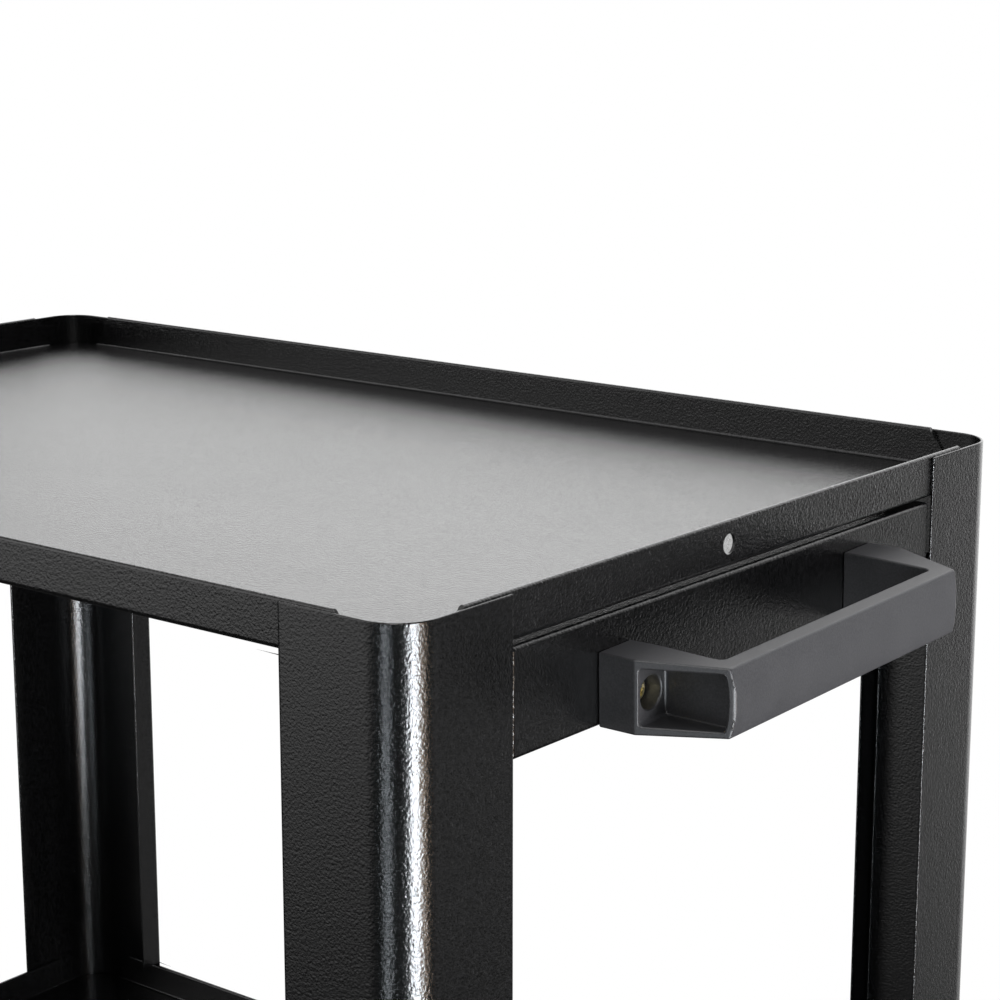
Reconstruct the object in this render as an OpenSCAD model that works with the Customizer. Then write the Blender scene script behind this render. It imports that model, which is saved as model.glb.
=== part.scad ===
// Rolling utility cart: three pressed-steel trays in four angle posts, a moulded
// handle on an end panel, two braked swivel casters under the handle end and two
// rigid casters under the front end. Millimetres, +Z up, the handle at +X, the
// floor at z = 0 and the whole cart's box centred on the Z axis.

/* [Cart] */
// Length over the posts
cart_l = 610; // [480:1:760]
// Width over the posts
cart_w = 410; // [340:1:560]
// Height from one tray to the next
shelf_pitch = 400; // [250:1:480]
// Thickness of the pressed sheet
sheet_t = 1.2; // [0.8:0.1:1.5]

/* [Trays] */
// Height of a tray from its underside to the top of its lip
tray_h = 18.8; // [16:0.1:30]
// Height of the hem folded down inside a lip
hem_h = 5; // [3:0.1:5.2]
// Outside radius of the bend from floor to lip
lip_bend_r = 2.5; // [2:0.1:4]
// Distance from the cart's corner to where a lip starts, at its top
lip_start_top = 33; // [28:0.5:45]
// Distance from the cart's corner to where a lip starts, at the floor
lip_start_low = 21; // [19.5:0.5:27]
// Gap between a tray floor's corner and the post around it
floor_corner_gap = 1; // [0.5:0.1:2]
// Diameter of the hole through the lip at the handle end
lip_hole_d = 8.2; // [4:0.1:8.4]
// Distance of that hole from the middle of the lip, towards the right
lip_hole_y = -11; // [-80:1:80]

/* [Posts] */
// Width of each leg of a post
post_leg = 58; // [45:1:75]
// Outside radius of a post's corner
post_r = 18; // [12:0.5:19]
// Width of the flange turned in along the post's free edge
post_return = 15; // [8:0.5:20]
// Outside radius of that flange's bend
return_bend_r = 2.4; // [2:0.1:4]
// How far a post stops below the top tray's lip
post_drop = 1; // [0:0.1:4]
// Gap between the flange and a tray, above and below it
return_gap = 1.5; // [0.5:0.1:4]

/* [End panel] */
// Height of the panel under the handle-end lip
panel_h = 41.5; // [36:0.5:60]
// Depth of the panel's turned edges
panel_d = 16; // [8:0.5:20]
// Outside radius of the panel's edges
panel_r = 2; // [1.6:0.1:4]
// Gap between the panel and the tray above it
panel_drop = 1.8; // [0.5:0.1:4]
// Gap between the panel's end and the post beside it
panel_gap = 0.5; // [0.4:0.1:5]
// Length of each weld tab that reaches behind a post
panel_tab = 20; // [10:1:30]
// Height of each weld tab
panel_tab_h = 14; // [8:0.5:20]

/* [Handle] */
// Length of the handle over its feet
handle_l = 191.5; // [150:0.5:230]
// Length of the handle over the front of its grip
grip_l = 162; // [130:1:168]
// How far the handle stands out from the panel
handle_depth = 50; // [36:0.5:65]
// Height of the handle's feet
handle_h = 28.6; // [24:0.1:34]
// Height of the grip
grip_h = 26.5; // [20:0.5:28]
// How far the middle of the grip's front bulges out
grip_crown = 2; // [0.5:0.1:4]
// Thickness of the grip, front to back
grip_t = 9.5; // [7:0.5:12]
// Thickness of the wall between a foot's pocket and the fingers
web_t = 2.5; // [2:0.5:4]
// Depth of a foot's square part before the slanted end starts
foot_d = 16; // [13:0.5:20]
// Clear width between the feet
finger_w = 151; // [120:1:155]
// Thickness of the pocket's rims
rim_t = 2.5; // [2:0.5:4]
// Distance between the two screws
screw_pitch = 174; // [140:1:176]
// Diameter of the screws
screw_d = 5; // [4:0.5:5]
// Diameter of a screw's head
screw_head_d = 10; // [8:0.1:10.5]
// Height of a screw's head
screw_head_h = 3.6; // [2:0.1:4]
// Thickness of plastic under a screw's head
screw_seat = 9; // [4:0.5:10]
// Angle by which the handle's right end is raised
handle_lean = 1.4; // [-2:0.1:2]

/* [Rails] */
// Height of the hat-shaped rails under the bottom tray
rail_h = 18; // [14:0.5:30]
// Width of a rail's web
rail_w = 78; // [74:1:82]
// Width of each of a rail's feet
rail_foot = 10; // [6:1:14]
// Thickness of a rail
rail_t = 2; // [1.5:0.1:3]
// Gap between a rail's end and the post
rail_end_gap = 2; // [1.5:0.5:6]

/* [Casters] */
// Height of a caster from the floor to the top of its plate
caster_h = 128; // [124:0.5:140]
// Distance of a caster's centre from the cart's end and side
caster_inset = 60; // [56:1:80]
// Distance from a swivel's axis back to its wheel's axle
trail = 34; // [28:0.5:38]
// Diameter of a wheel
wheel_d = 100; // [90:1:102]
// Width of a wheel's tyre
tyre_w = 30; // [24:0.5:32]
// Length of a caster plate, across the cart
plate_l = 95; // [92:1:100]
// Width of a caster plate, along the cart
plate_w = 67; // [62:1:70]
// Thickness of a caster plate
plate_t = 3; // [2.5:0.1:4]
// Distance between bolts across the cart
bolt_pitch_y = 75; // [70:0.5:76]
// Distance between bolts along the cart
bolt_pitch_x = 46; // [40:0.5:48]
// Diameter of the caster bolts
bolt_d = 8; // [6:0.5:8]
// Thickness of a fork's legs
fork_t = 3; // [2.5:0.1:3.5]
// Clear width between a fork's legs
fork_gap = 38; // [36:0.5:42]
// Diameter of the axle bolts
axle_d = 8; // [6:0.5:10]
// Outside diameter of the bush around an axle
bush_d = 12; // [11:0.5:14]
// Radial running clearance of wheels, forks and pedals on their pins
running_gap = 0.05; // [0.02:0.01:0.1]
// Diameter of the kingpin
kingpin_d = 10; // [8:0.5:12]
// Diameter of the balls in a swivel race
ball_d = 6; // [5:0.5:6.5]
// Radius of the circle that the balls run on
race_r = 19; // [17:0.5:20]
// How far a brake pedal turns, in degrees
pedal_turn = 24; // [15:1:30]
// Length of a brake pedal from its pin
pedal_l = 44; // [35:1:50]

/* [Hidden] */
$fn = 64;

// Signs of the two ends and the two sides
REAR = 1;
FRONT = -1;
LEFT = -1;
RIGHT = 1;

// Places of the cart's main faces
tray_l = cart_l - 2 * sheet_t;
tray_w = cart_w - 2 * sheet_t;
mid_x = -(handle_depth - sheet_t) / 2;
rear_x = mid_x + cart_l / 2;
top_z = tray_z(2) + tray_h;

// Underside of a tray: 0 is the bottom one
function tray_z(i) = caster_h + rail_h + i * shelf_pitch;

// Handle and panel
panel_face_x = rear_x - sheet_t;
panel_w = cart_w - 2 * (post_leg + panel_gap);
panel_top = tray_z(2) - panel_drop;
panel_mid = panel_top - panel_h / 2;
handle_z = panel_mid - 4.2;
pocket_back = finger_w / 2 + web_t;
counterbore_d = screw_head_d + 3;
crown_front_r = (grip_h * grip_h / 4 + grip_crown * grip_crown) / (2 * grip_crown);
washer_t = 1;
nut_t = 4;
screw_hole_d = screw_d + 0.3;
screw_end = 2 * sheet_t + washer_t + nut_t + 1;

// Casters
wheel_r = wheel_d / 2;
tread_depth = 11;
shoulder_r = 5;
rim_r = wheel_r - tread_depth;
plate_z = caster_h - plate_t;
hub_gap = 1;
race_depth = 3;
ball_z = plate_z - 4.5;
groove_gap = 0.3;
crown_top = ball_z - 1.5;
crown_t = 4;
crown_r = race_r + ball_d / 2 + 4;
crown_bottom = crown_top - crown_t;
fork_out = fork_gap / 2 + fork_t;
axle_boss_r = 13;
hex_r = 1 / cos(30) / 2;
bolt_af = 1.6 * bolt_d;
axle_af = 1.6 * axle_d;
kingpin_head_h = 3;
kingpin_nut_h = 8;
pedal_pin_d = 5;
pedal_hub_r = 5.5;
pedal_ear_r = 8;
pedal_w = fork_gap - 4;
pedal_t = 4;
pedal_lift = 12;
pedal_cam_r = 3;
pedal_rest_gap = 0.35;
// Pedal pin, measured from the axle
pedal_x = -36;
pedal_rise = wheel_r - 4;
pedal_reach = norm([pedal_x, pedal_rise]) - wheel_r - pedal_rest_gap - pedal_cam_r;

// The two ends of a line along one side of two round bosses, just inside their outlines
function side_line(c1, r1, c2, r2, side) =
    let (d = c2 - c1, a = atan2(d[1], d[0]) + side * acos((r1 - r2) / norm(d)), tuck = 0.97)
    [c1 + tuck * r1 * [cos(a), sin(a)], c2 + tuck * r2 * [cos(a), sin(a)]];

// ---------------------------------------------------------------- shared shapes

// A quarter of a bent sheet: outside radius r, from the -X side round to the -Y side
module bend(r, t) {
    intersection() {
        translate([r, r])
            difference() {
                circle(r);
                circle(r - t);
            }
        square(r);
    }
}

module rounded_rect(l, w, r) {
    square([l - 2 * r, w], center = true);
    square([l, w - 2 * r], center = true);
    for (x = [-1, 1], y = [-1, 1])
        translate([x * (l / 2 - r), y * (w / 2 - r)]) circle(r);
}

module hex_prism(af, h) {
    cylinder(r = af * hex_r, h = h, $fn = 6);
}

// Children drawn with the cart's corner at the origin and the cart towards +X +Y
module at_corner(end, side) {
    translate([mid_x + end * cart_l / 2, side * cart_w / 2, 0])
        mirror([end > 0 ? 1 : 0, 0, 0])
            mirror([0, side > 0 ? 1 : 0, 0])
                children();
}

// Children drawn round a caster's centre, with the cart's outside towards -Y
module at_caster(end, side) {
    translate([mid_x + end * (cart_l / 2 - caster_inset), side * (cart_w / 2 - caster_inset), 0])
        mirror([0, side > 0 ? 1 : 0, 0])
            children();
}

// Children turned so that their Z axis is the axle's, with z = 0 in the wheel's middle
module on_axle(x) {
    translate([x, 0, wheel_r])
        rotate([90, 0, 0])
            children();
}

// ------------------------------------------------------------------------ trays

// Lip's cross-section: outer face at x = 0, underside at y = 0
module lip_section() {
    bend(lip_bend_r, sheet_t);
    translate([lip_bend_r, 0]) square([1, sheet_t]);
    translate([0, lip_bend_r]) square([sheet_t, tray_h - sheet_t - lip_bend_r]);
    translate([sheet_t, tray_h - hem_h]) square([sheet_t, hem_h - sheet_t]);
    intersection() {
        translate([sheet_t, tray_h - sheet_t]) circle(sheet_t);
        translate([0, tray_h - sheet_t]) square([2 * sheet_t, sheet_t]);
    }
}

// Lip along X with slanted ends, outer face at y = 0
module lip(side_l) {
    low = side_l / 2 - lip_start_low;
    top = side_l / 2 - lip_start_top;
    intersection() {
        rotate([90, 0, 90])
            linear_extrude(2 * low, center = true) lip_section();
        translate([0, lip_bend_r + 2, 0])
            rotate([90, 0, 0])
                linear_extrude(lip_bend_r + 4)
                    polygon([[-low, 0], [low, 0], [top, tray_h], [-top, tray_h]]);
    }
}

module tray_floor() {
    low_x = cart_l - 2 * lip_start_low;
    low_y = cart_w - 2 * lip_start_low;
    linear_extrude(sheet_t)
        difference() {
            rounded_rect(tray_l - 2 * floor_corner_gap, tray_w - 2 * floor_corner_gap,
                         post_r - sheet_t - floor_corner_gap);
            for (s = [-1, 1]) {
                translate([0, s * tray_w / 2]) square([low_x, 2 * lip_bend_r], center = true);
                translate([s * tray_l / 2, 0]) square([2 * lip_bend_r, low_y], center = true);
            }
        }
}

module tray(i) {
    color("#26262a")
        translate([mid_x, 0, tray_z(i)])
            difference() {
                union() {
                    tray_floor();
                    for (a = [0, 180])
                        rotate(a) translate([0, -tray_w / 2, 0]) lip(cart_l);
                    for (a = [90, 270])
                        rotate(a) translate([0, -tray_l / 2, 0]) lip(cart_w);
                }
                translate([tray_l / 2 - 4 * sheet_t, lip_hole_y, tray_h / 2])
                    rotate([0, 90, 0]) cylinder(d = lip_hole_d, h = 8 * sheet_t);
            }
}

// ------------------------------------------------------------------------ posts

module post_section() {
    bend(post_r, sheet_t);
    translate([post_r, 0]) square([post_leg - post_r - return_bend_r, sheet_t]);
    translate([0, post_r]) square([sheet_t, post_leg - post_r]);
    translate([post_leg, 0]) mirror([1, 0]) bend(return_bend_r, sheet_t);
    translate([post_leg - sheet_t, return_bend_r]) square([sheet_t, post_return - return_bend_r]);
}

// The flange is cut away where the trays pass, and below the bottom tray
module return_notch(low, high) {
    translate([post_leg - return_bend_r - 0.5, sheet_t, low])
        cube([return_bend_r + 1, post_return, high - low]);
}

module post(end, side) {
    foot = caster_h;
    color("#1e1e21")
        at_corner(end, side)
            difference() {
                translate([0, 0, foot])
                    linear_extrude(top_z - post_drop - foot) post_section();
                return_notch(foot - 1, tray_z(0) + tray_h + return_gap);
                return_notch(tray_z(1) - return_gap, tray_z(1) + tray_h + return_gap);
                return_notch(tray_z(2) - return_gap, top_z + 1);
            }
}

// -------------------------------------------------------------------- end panel

// Outline with its two corners at x = 0 rounded, reaching back to x = -d
module front_rounded(w, d, r) {
    translate([-d, -w / 2]) square([d - r, w]);
    translate([-d, -w / 2 + r]) square([d, w - 2 * r]);
    for (s = [-1, 1])
        translate([-r, s * (w / 2 - r)]) circle(r);
}

// Solid of the panel's outside, drawn in by `inset` for its inside
module panel_form(inset) {
    w = panel_w - 2 * inset;
    h = panel_h - 2 * inset;
    r = panel_r - inset;
    d = panel_d + inset;
    translate([-inset, 0, 0])
        intersection() {
            linear_extrude(h, center = true) front_rounded(w, d, r);
            rotate([90, 0, 0]) linear_extrude(w, center = true) front_rounded(h, d, r);
            rotate([90, 0, 90]) linear_extrude(3 * d, center = true) rounded_rect(w, h, r);
        }
}

module end_panel() {
    color("#1c1c20")
        translate([panel_face_x, 0, panel_mid])
            difference() {
                union() {
                    difference() {
                        panel_form(0);
                        panel_form(sheet_t);
                    }
                    for (s = [-1, 1])
                        translate([-sheet_t, s * (panel_w / 2 + (panel_gap + panel_tab - panel_r) / 2)
                                   - (panel_gap + panel_tab + panel_r) / 2,
                                   -panel_h / 2 + panel_r + 2])
                            cube([sheet_t, panel_gap + panel_tab + panel_r, panel_tab_h]);
                }
                translate([-panel_d, 0, handle_z - panel_mid])
                    rotate([handle_lean, 0, 0])
                        for (s = [-1, 1])
                            translate([0, s * screw_pitch / 2, 0])
                                rotate([0, 90, 0]) cylinder(d = screw_hole_d, h = 2 * panel_d);
            }
}

// ----------------------------------------------------------------------- handle

// Seen from above: x out from the panel, y along the handle
module handle_plan() {
    back = handle_depth - grip_t;
    difference() {
        offset(r = 2) offset(delta = -2)
            polygon([
                [-4, -handle_l / 2], [foot_d, -handle_l / 2], [handle_depth, -grip_l / 2],
                [handle_depth, grip_l / 2], [foot_d, handle_l / 2], [-4, handle_l / 2]
            ]);
        translate([-5, -handle_l]) square([5, 2 * handle_l]);
        offset(r = 3.5) offset(delta = -3.5)
            translate([-20, -finger_w / 2]) square([back + 20, finger_w]);
    }
}

// Seen from the side: the feet are taller than the grip, whose front is crowned
module handle_side() {
    intersection() {
        polygon([
            [0, -handle_h / 2], [foot_d, -handle_h / 2], [handle_depth, -grip_h / 2],
            [handle_depth, grip_h / 2], [foot_d, handle_h / 2], [0, handle_h / 2]
        ]);
        translate([handle_depth - crown_front_r, 0]) circle(crown_front_r);
    }
}

// Pocket that opens through the slanted end, and holds the screw
module handle_pocket() {
    intersection() {
        translate([foot_d, pocket_back, -grip_h / 2 + rim_t])
            cube([handle_depth, handle_l, grip_h - 2 * rim_t]);
        translate([handle_depth - crown_front_r, 0, 0])
            rotate([-90, 0, 0]) cylinder(r = crown_front_r - rim_t, h = handle_l);
    }
    translate([screw_seat, screw_pitch / 2, 0])
        rotate([0, 90, 0]) cylinder(d = counterbore_d, h = foot_d - screw_seat + 1);
    translate([-1, screw_pitch / 2, 0])
        rotate([0, 90, 0]) cylinder(d = screw_hole_d, h = foot_d);
}

module handle() {
    color("#3a3a3d")
        translate([panel_face_x, 0, handle_z])
            rotate([handle_lean, 0, 0])
                difference() {
                    intersection() {
                        linear_extrude(handle_h, center = true) handle_plan();
                        rotate([90, 0, 0]) linear_extrude(2 * handle_l, center = true) handle_side();
                    }
                    handle_pocket();
                    mirror([0, 1, 0]) handle_pocket();
                }
}

// Children placed on each handle screw, with z pointing out of the panel's face
module at_handle_screws() {
    translate([panel_face_x, 0, handle_z])
        rotate([handle_lean, 0, 0])
            for (s = [-1, 1])
                translate([0, s * screw_pitch / 2, 0])
                    rotate([0, 90, 0]) children();
}

module handle_screws() {
    recess_w = 1.3;
    recess_l = 5.6;
    color("#b8a04a")
        at_handle_screws()
            difference() {
                union() {
                    translate([0, 0, -screw_end]) cylinder(d = screw_d, h = screw_end + screw_seat);
                    translate([0, 0, screw_seat])
                        intersection() {
                            cylinder(d = screw_head_d, h = screw_head_h);
                            translate([0, 0, screw_head_h - screw_head_d])
                                sphere(r = screw_head_d);
                        }
                }
                for (a = [0, 90])
                    translate([0, 0, screw_seat + screw_head_h])
                        rotate([0, 0, a]) cube([recess_l, recess_w, 4], center = true);
            }
}

module handle_washers() {
    color("silver")
        at_handle_screws()
            translate([0, 0, -sheet_t - washer_t])
                difference() {
                    cylinder(d = 2 * screw_d, h = washer_t);
                    translate([0, 0, -1]) cylinder(d = screw_hole_d, h = washer_t + 2);
                }
}

module handle_nuts() {
    color("silver")
        at_handle_screws()
            translate([0, 0, -sheet_t - washer_t - nut_t])
                difference() {
                    hex_prism(1.6 * screw_d, nut_t);
                    translate([0, 0, -1]) cylinder(d = screw_d + 0.1, h = nut_t + 2);
                }
}

// ------------------------------------------------------------------------ rails

// Cross-section seen along the rail: web at the bottom, feet at the top
module rail_section() {
    translate([-rail_w / 2, 0]) square([rail_w, rail_t]);
    for (s = [-1, 1]) {
        translate([s * (rail_w - rail_t) / 2 - rail_t / 2, 0]) square([rail_t, rail_h]);
        translate([s * (rail_w + rail_foot) / 2 - (rail_foot + rail_t) / 2, rail_h - rail_t])
            square([rail_foot + rail_t, rail_t]);
    }
}

// Children placed on the four bolts of a caster
module at_bolts(end, side) {
    at_caster(end, side)
        for (x = [-1, 1], y = [-1, 1])
            translate([x * bolt_pitch_x / 2, y * bolt_pitch_y / 2, 0]) children();
}

module rail(end) {
    color("#222226")
        difference() {
            translate([mid_x + end * (cart_l / 2 - caster_inset), 0, caster_h])
                rotate([90, 0, 0])
                    linear_extrude(tray_w - 2 * rail_end_gap, center = true) rail_section();
            for (side = [LEFT, RIGHT]) {
                at_bolts(end, side)
                    translate([0, 0, caster_h - 1]) cylinder(d = bolt_d + 0.5, h = rail_t + 2);
                at_caster(end, side)
                    translate([0, 0, caster_h - 1]) cylinder(d = 2.6 * kingpin_d, h = rail_t + 2);
            }
        }
}

module caster_bolts() {
    head_h = 0.65 * bolt_d;
    color("silver")
        for (end = [REAR, FRONT], side = [LEFT, RIGHT])
            at_bolts(end, side)
                translate([0, 0, plate_z - head_h]) {
                    hex_prism(bolt_af, head_h);
                    cylinder(d = bolt_d, h = head_h + plate_t + rail_t + bolt_d);
                }
}

module weld_nuts() {
    color("silver")
        for (end = [REAR, FRONT], side = [LEFT, RIGHT])
            at_bolts(end, side)
                translate([0, 0, caster_h + rail_t])
                    difference() {
                        hex_prism(bolt_af, 0.8 * bolt_d);
                        translate([0, 0, -1]) cylinder(d = bolt_d + 0.1, h = bolt_d + 2);
                    }
}

// --------------------------------------------------------------- swivel casters

module caster_plate() {
    translate([0, 0, plate_z])
        linear_extrude(plate_t)
            difference() {
                rounded_rect(plate_w, plate_l, 6);
                for (x = [-1, 1], y = [-1, 1])
                    translate([x * bolt_pitch_x / 2, y * bolt_pitch_y / 2]) circle(d = bolt_d + 0.5);
            }
}

// Cross-section of the groove that the balls run in
module race_groove(gap) {
    rotate_extrude() translate([race_r, 0]) circle(ball_d / 2 + gap);
}

module swivel_plate(side) {
    color("#b9bcc0")
        at_caster(REAR, side)
            difference() {
                union() {
                    caster_plate();
                    translate([0, 0, plate_z - race_depth])
                        cylinder(r = race_r + ball_d / 2 + 2, h = race_depth + plate_t / 2);
                }
                translate([0, 0, ball_z]) race_groove(groove_gap);
                translate([0, 0, plate_z - race_depth - 1])
                    cylinder(d = kingpin_d + 0.1, h = race_depth + plate_t + 2);
            }
}

module race_balls(side) {
    count = floor(2 * PI * race_r / (ball_d + 1));
    color("silver")
        at_caster(REAR, side)
            for (i = [0 : count - 1])
                rotate(i * 360 / count) translate([race_r, 0, ball_z]) sphere(d = ball_d);
}

module kingpin(side) {
    color("#a8abb0")
        at_caster(REAR, side) {
            translate([0, 0, caster_h]) cylinder(d = 2 * kingpin_d, h = kingpin_head_h);
            translate([0, 0, crown_bottom - kingpin_nut_h - 2])
                cylinder(d = kingpin_d, h = caster_h - crown_bottom + kingpin_nut_h + 3);
        }
}

module kingpin_nut(side) {
    color("#a8abb0")
        at_caster(REAR, side)
            translate([0, 0, crown_bottom - kingpin_nut_h - 0.2])
                difference() {
                    hex_prism(1.7 * kingpin_d, kingpin_nut_h);
                    translate([0, 0, -1]) cylinder(d = kingpin_d + 0.1, h = kingpin_nut_h + 2);
                }
}

// Side view of a swivel fork's leg, with its ear for the pedal's pin
module swivel_leg() {
    axle = [-trail, wheel_r];
    ear = axle + [pedal_x, pedal_rise];
    back_top = [-crown_r + 2, crown_top];
    front_low = [crown_r - 3, crown_bottom - 3];
    to_ear = side_line(back_top, 0, ear, pedal_ear_r, -1);
    to_axle = side_line(ear, pedal_ear_r, axle, axle_boss_r, -1);
    to_front = side_line(axle, axle_boss_r, front_low, 0, -1);
    translate(axle) circle(axle_boss_r);
    translate(ear) circle(pedal_ear_r);
    polygon([
        back_top, to_ear[1], ear, to_axle[0], to_axle[1], axle,
        to_front[0], front_low, [crown_r - 3, crown_top]
    ]);
}

module fork_legs() {
    for (s = [-1, 1])
        translate([0, s * (fork_gap + fork_t) / 2, 0])
            rotate([90, 0, 0]) linear_extrude(fork_t, center = true) children();
}

module swivel_fork(side) {
    color("#b9bcc0")
        at_caster(REAR, side)
            difference() {
                union() {
                    fork_legs() swivel_leg();
                    translate([0, 0, crown_bottom])
                        linear_extrude(crown_t)
                            intersection() {
                                circle(crown_r);
                                square([4 * crown_r, 2 * fork_out], center = true);
                            }
                }
                translate([0, 0, ball_z]) race_groove(0.1);
                translate([0, 0, crown_bottom - 1])
                    cylinder(d = kingpin_d + 2 * running_gap, h = crown_t + 2);
                on_axle(-trail) cylinder(d = axle_d + 0.1, h = 3 * fork_out, center = true);
                translate([pedal_x, 0, pedal_rise])
                    on_axle(-trail) cylinder(d = pedal_pin_d, h = 3 * fork_out, center = true);
            }
}

// --------------------------------------------------------------------- brakes

// Children drawn in the wheel's plane round the pedal's pin
module at_pedal(side) {
    at_caster(REAR, side)
        translate([pedal_x, 0, pedal_rise])
            on_axle(-trail) children();
}

module brake_pedal(side) {
    to_wheel = atan2(-pedal_rise, -pedal_x);
    pad_low = pedal_hub_r - pedal_t - 1;
    color("#2a2a2c")
        at_pedal(side)
            difference() {
                union() {
                    linear_extrude(pedal_w, center = true) {
                        circle(pedal_hub_r);
                        rotate(-pedal_lift) {
                            translate([-pedal_l, pad_low]) square([pedal_l - 3, pedal_t]);
                            translate([-pedal_l, pad_low + pedal_t / 2]) circle(d = pedal_t + 1);
                        }
                    }
                    rotate(to_wheel - pedal_turn)
                        translate([pedal_reach, 0, 0])
                            cylinder(r = pedal_cam_r, h = tyre_w - 4, center = true);
                }
                cylinder(d = pedal_pin_d + 2 * running_gap, h = 2 * pedal_w, center = true);
            }
}

module pedal_pin(side) {
    color("silver")
        at_pedal(side) {
            cylinder(d = pedal_pin_d, h = 2 * fork_out, center = true);
            for (s = [-1, 1])
                translate([0, 0, s * (fork_out + 1)])
                    cylinder(d = pedal_pin_d + 4, h = 2, center = true);
        }
}

// ----------------------------------------------------------------------- wheels

module tyre(end, side) {
    color("#3c3d40")
        at_caster(end, side)
            on_axle(end > 0 ? -trail : 0)
                rotate_extrude($fn = 96) {
                    translate([rim_r, -tyre_w / 2]) square([tread_depth - shoulder_r, tyre_w]);
                    translate([rim_r, -tyre_w / 2 + shoulder_r])
                        square([tread_depth, tyre_w - 2 * shoulder_r]);
                    for (s = [-1, 1])
                        translate([wheel_r - shoulder_r, s * (tyre_w / 2 - shoulder_r)])
                            circle(shoulder_r);
                }
}

module wheel(end, side) {
    hub_r = bush_d / 2 + 6;
    rim_in = rim_r - 5;
    web_w = 5;
    spokes = 8;
    hub_w = fork_gap - 2 * hub_gap;
    color("#18181a")
        at_caster(end, side)
            on_axle(end > 0 ? -trail : 0)
                difference() {
                    union() {
                        cylinder(r = hub_r, h = hub_w, center = true);
                        cylinder(r = rim_in + 1, h = web_w, center = true);
                        difference() {
                            cylinder(r = rim_r, h = tyre_w - 1, center = true, $fn = 96);
                            cylinder(r = rim_in, h = tyre_w, center = true, $fn = 96);
                        }
                        for (i = [0 : spokes - 1])
                            rotate(i * 360 / spokes)
                                translate([hub_r - 1, -1.5, -tyre_w / 2 + 4])
                                    cube([rim_in - hub_r + 2, 3, tyre_w - 8]);
                    }
                    cylinder(d = bush_d + 2 * running_gap, h = 2 * hub_w, center = true);
                }
}

module bush(end, side) {
    color("silver")
        at_caster(end, side)
            on_axle(end > 0 ? -trail : 0)
                difference() {
                    cylinder(d = bush_d, h = fork_gap, center = true);
                    cylinder(d = axle_d + 0.1, h = 2 * fork_gap, center = true);
                }
}

// Hex bolt through the fork, its head on the outer leg
module axle(end, side) {
    head_h = 0.65 * axle_d;
    color("silver")
        at_caster(end, side)
            on_axle(end > 0 ? -trail : 0) {
                translate([0, 0, fork_out]) hex_prism(axle_af, head_h);
                translate([0, 0, -fork_out - axle_d - 1])
                    cylinder(d = axle_d, h = 2 * fork_out + axle_d + 2);
            }
}

module axle_nut(end, side) {
    color("silver")
        at_caster(end, side)
            on_axle(end > 0 ? -trail : 0)
                translate([0, 0, -fork_out - axle_d])
                    difference() {
                        hex_prism(axle_af, axle_d);
                        translate([0, 0, -1]) cylinder(d = axle_d + 0.1, h = axle_d + 2);
                    }
}

// ---------------------------------------------------------------- rigid casters

module rigid_leg() {
    axle = [0, wheel_r];
    half = plate_w / 2 - 8;
    left = side_line([-half, plate_z], 0, axle, axle_boss_r, -1);
    right = side_line(axle, axle_boss_r, [half, plate_z], 0, -1);
    translate(axle) circle(axle_boss_r);
    polygon([left[0], left[1], axle, right[0], right[1]]);
}

module rigid_fork(side) {
    color("#b9bcc0")
        at_caster(FRONT, side)
            difference() {
                union() {
                    caster_plate();
                    fork_legs() rigid_leg();
                }
                on_axle(0) cylinder(d = axle_d + 0.1, h = 3 * fork_out, center = true);
            }
}

// ------------------------------------------------------------------------ nodes

tray(2);  // top_tray
tray(1);  // middle_tray
tray(0);  // bottom_tray
post(REAR, LEFT);  // post_rear_left
post(REAR, RIGHT);  // post_rear_right
post(FRONT, LEFT);  // post_front_left
post(FRONT, RIGHT);  // post_front_right
end_panel();
handle();
handle_screws();
handle_washers();
handle_nuts();
rail(REAR);  // rear_rail
rail(FRONT);  // front_rail
caster_bolts();
weld_nuts();
swivel_plate(LEFT);  // swivel_plate_left
swivel_plate(RIGHT);  // swivel_plate_right
race_balls(LEFT);  // race_balls_left
race_balls(RIGHT);  // race_balls_right
kingpin(LEFT);  // kingpin_left
kingpin(RIGHT);  // kingpin_right
kingpin_nut(LEFT);  // kingpin_nut_left
kingpin_nut(RIGHT);  // kingpin_nut_right
swivel_fork(LEFT);  // swivel_fork_left
swivel_fork(RIGHT);  // swivel_fork_right
brake_pedal(LEFT);  // brake_pedal_left
brake_pedal(RIGHT);  // brake_pedal_right
pedal_pin(LEFT);  // pedal_pin_left
pedal_pin(RIGHT);  // pedal_pin_right
tyre(REAR, LEFT);  // rear_tyre_left
tyre(REAR, RIGHT);  // rear_tyre_right
wheel(REAR, LEFT);  // rear_wheel_left
wheel(REAR, RIGHT);  // rear_wheel_right
bush(REAR, LEFT);  // rear_bush_left
bush(REAR, RIGHT);  // rear_bush_right
axle(REAR, LEFT);  // rear_axle_left
axle(REAR, RIGHT);  // rear_axle_right
axle_nut(REAR, LEFT);  // rear_axle_nut_left
axle_nut(REAR, RIGHT);  // rear_axle_nut_right
rigid_fork(LEFT);  // rigid_fork_left
rigid_fork(RIGHT);  // rigid_fork_right
tyre(FRONT, LEFT);  // front_tyre_left
tyre(FRONT, RIGHT);  // front_tyre_right
wheel(FRONT, LEFT);  // front_wheel_left
wheel(FRONT, RIGHT);  // front_wheel_right
bush(FRONT, LEFT);  // front_bush_left
bush(FRONT, RIGHT);  // front_bush_right
axle(FRONT, LEFT);  // front_axle_left
axle(FRONT, RIGHT);  // front_axle_right
axle_nut(FRONT, LEFT);  // front_axle_nut_left
axle_nut(FRONT, RIGHT);  // front_axle_nut_right
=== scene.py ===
"""A rolling utility cart: black steel trays in angle posts, a moulded handle and four casters."""
import math

import bmesh
import bpy
from mathutils import Matrix, Vector


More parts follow.
